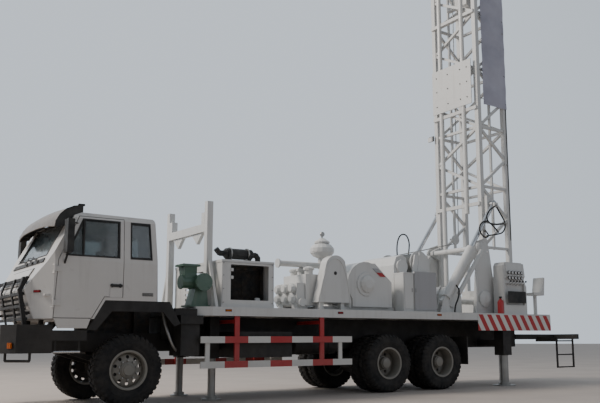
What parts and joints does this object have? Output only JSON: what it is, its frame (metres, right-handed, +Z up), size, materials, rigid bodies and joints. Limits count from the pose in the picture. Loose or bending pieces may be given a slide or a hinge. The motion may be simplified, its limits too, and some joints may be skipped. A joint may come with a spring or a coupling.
{
  "type": "truck-mounted water well drilling rig",
  "caption": "Cab-over truck with a hinged lattice mast at its rear, lift cylinders, mud pump, winch, deck engine, side guards and jacks.",
  "frame": {"origin": "on the ground under the middle of the whole vehicle", "axes": "+Z up, +X towards the rear of the truck, -Y towards its left side"},
  "size_m": [13, 2.96, 13.7329],
  "materials": {
    "white_paint": "gloss paint",
    "cab_white": "gloss paint, dusty",
    "black_paint": "satin paint",
    "guard_paint": "white and red bands",
    "green_paint": "satin paint",
    "engine_dark": "oily",
    "rim_paint": "dull paint",
    "tyre": "matt rubber",
    "glass": "clear",
    "black_plastic": "matt",
    "visor_grey": "faded",
    "seat_cloth": "woven",
    "steel": "worn",
    "chrome_rod": "polished"
  },
  "bodies": {
    "carrier": {"chassis_frame": "black_paint", "axles_and_springs": "black_paint", "truck_engine": "engine_dark", "front_bumper": "black_paint", "grille_guard": "black_paint", "cab_shell": "cab_white", "cab_glass": "glass", "cab_seats": "seat_cloth", "dashboard": "black_plastic", "roof_visor": "visor_grey", "mudguards": "black_plastic", "deck": "white_paint", "under_deck_boxes": "black_paint", "side_guards": "guard_paint", "mast_rest": "white_paint", "engine_house": "white_paint", "deck_engine": "engine_dark", "muffler": "black_paint", "air_compressor": "green_paint", "pump_power_end": "white_paint", "pump_fluid_end": "white_paint", "belt_guard": "white_paint", "side_cabinets": "white_paint", "winch_frame": "white_paint", "a_frame": "white_paint", "rotary_gearbox": "white_paint", "control_console": "white_paint", "jack_housings": "black_paint", "rear_step_ladder": "black_paint"},
    "door_left": {"door_left": "cab_white", "door_glass_left": "glass", "mirror_left": "black_plastic"},
    "door_right": {"door_right": "cab_white", "door_glass_right": "glass", "mirror_right": "black_plastic"},
    "steered_left": {"knuckle_left": "black_paint"},
    "wheel_front_left": {"tyre_front_left": "tyre", "rim_front_left": "rim_paint"},
    "steered_right": {"knuckle_right": "black_paint"},
    "wheel_front_right": {"tyre_front_right": "tyre", "rim_front_right": "rim_paint"},
    "wheels_rear_1_left": {"tyres_rear_1_left": "tyre", "rims_rear_1_left": "rim_paint"},
    "wheels_rear_1_right": {"tyres_rear_1_right": "tyre", "rims_rear_1_right": "rim_paint"},
    "wheels_rear_2_left": {"tyres_rear_2_left": "tyre", "rims_rear_2_left": "rim_paint"},
    "wheels_rear_2_right": {"tyres_rear_2_right": "tyre", "rims_rear_2_right": "rim_paint"},
    "mast": {"mast": "white_paint", "mast_columns": "white_paint"},
    "travelling_block": {"travelling_block": "white_paint"},
    "lift_barrels": {"lift_barrels": "white_paint"},
    "lift_rods": {"lift_rods": "chrome_rod"},
    "jack_front_left": {"jack_front_left": "steel"},
    "jack_front_right": {"jack_front_right": "steel"},
    "jack_rear_left": {"jack_rear_left": "steel"},
    "jack_rear_right": {"jack_rear_right": "steel"},
    "winch_drum": {"winch_drum": "steel"},
    "rotary_table": {"rotary_table": "steel"}
  },
  "joints": [
    {"name": "door_left_hinge", "type": "hinge", "parent": "carrier", "child": "door_left", "pos_m": [-5.865, -1.255, 2], "axis": [0, 0, -1], "range_deg": [0, 65]},
    {"name": "door_right_hinge", "type": "hinge", "parent": "carrier", "child": "door_right", "pos_m": [-5.865, 1.255, 2], "axis": [0, 0, 1], "range_deg": [0, 65]},
    {"name": "steering_left", "type": "hinge", "parent": "carrier", "child": "steered_left", "pos_m": [-4.65, -0.8, 0.555], "axis": [0, 0, 1], "range_deg": [-32, 32]},
    {"name": "wheel_front_left_spin", "type": "hinge", "parent": "steered_left", "child": "wheel_front_left", "pos_m": [-4.65, -1.005, 0.555], "axis": [0, 1, 0], "continuous": true},
    {"name": "steering_right", "type": "hinge", "parent": "carrier", "child": "steered_right", "pos_m": [-4.65, 0.8, 0.555], "axis": [0, 0, 1], "range_deg": [-32, 32]},
    {"name": "wheel_front_right_spin", "type": "hinge", "parent": "steered_right", "child": "wheel_front_right", "pos_m": [-4.65, 1.005, 0.555], "axis": [0, 1, 0], "continuous": true},
    {"name": "wheels_rear_1_left_spin", "type": "hinge", "parent": "carrier", "child": "wheels_rear_1_left", "pos_m": [0.525, -0.905, 0.555], "axis": [0, 1, 0], "continuous": true},
    {"name": "wheels_rear_1_right_spin", "type": "hinge", "parent": "carrier", "child": "wheels_rear_1_right", "pos_m": [0.525, 0.905, 0.555], "axis": [0, 1, 0], "continuous": true},
    {"name": "wheels_rear_2_left_spin", "type": "hinge", "parent": "carrier", "child": "wheels_rear_2_left", "pos_m": [1.925, -0.905, 0.555], "axis": [0, 1, 0], "continuous": true},
    {"name": "wheels_rear_2_right_spin", "type": "hinge", "parent": "carrier", "child": "wheels_rear_2_right", "pos_m": [1.925, 0.905, 0.555], "axis": [0, 1, 0], "continuous": true},
    {"name": "mast_hinge", "type": "hinge", "parent": "carrier", "child": "mast", "pos_m": [3.57, 0, 3.05], "axis": [0, -1, 0], "range_deg": [0, 90]},
    {"name": "block_travel", "type": "slide", "parent": "mast", "child": "travelling_block", "axis": [0, 0, 1], "range_m": [-5, 3]},
    {"name": "lift_barrel_pivot", "type": "hinge", "parent": "carrier", "child": "lift_barrels", "pos_m": [2.3, 0, 1.79], "axis": [0, -1, 0], "range_deg": [0, 27.33]},
    {"name": "lift_rod_slide", "type": "slide", "parent": "lift_barrels", "child": "lift_rods", "axis": [-0.5863, 0, -0.8101], "range_m": [0, 1.1605]},
    {"name": "jack_front_left_lift", "type": "slide", "parent": "carrier", "child": "jack_front_left", "axis": [0, 0, 1], "range_m": [0, 0.45]},
    {"name": "jack_front_right_lift", "type": "slide", "parent": "carrier", "child": "jack_front_right", "axis": [0, 0, 1], "range_m": [0, 0.45]},
    {"name": "jack_rear_left_lift", "type": "slide", "parent": "carrier", "child": "jack_rear_left", "axis": [0, 0, 1], "range_m": [0, 0.45]},
    {"name": "jack_rear_right_lift", "type": "slide", "parent": "carrier", "child": "jack_rear_right", "axis": [0, 0, 1], "range_m": [0, 0.45]},
    {"name": "winch_spin", "type": "hinge", "parent": "carrier", "child": "winch_drum", "pos_m": [1.8, 0, 2.62], "axis": [0, 1, 0], "continuous": true},
    {"name": "rotary_spin", "type": "hinge", "parent": "carrier", "child": "rotary_table", "pos_m": [4.235, 0, 2.05], "axis": [0, 0, 1], "continuous": true}
  ],
  "couplings": [
    {"joint": "steering_right", "follows": "steering_left", "ratio": 1},
    {"joint": "lift_barrel_pivot", "follows": "mast_hinge", "ratio": 0.3025},
    {"joint": "lift_rod_slide", "follows": "mast_hinge", "m_per_rad": 0.73559}
  ]
}
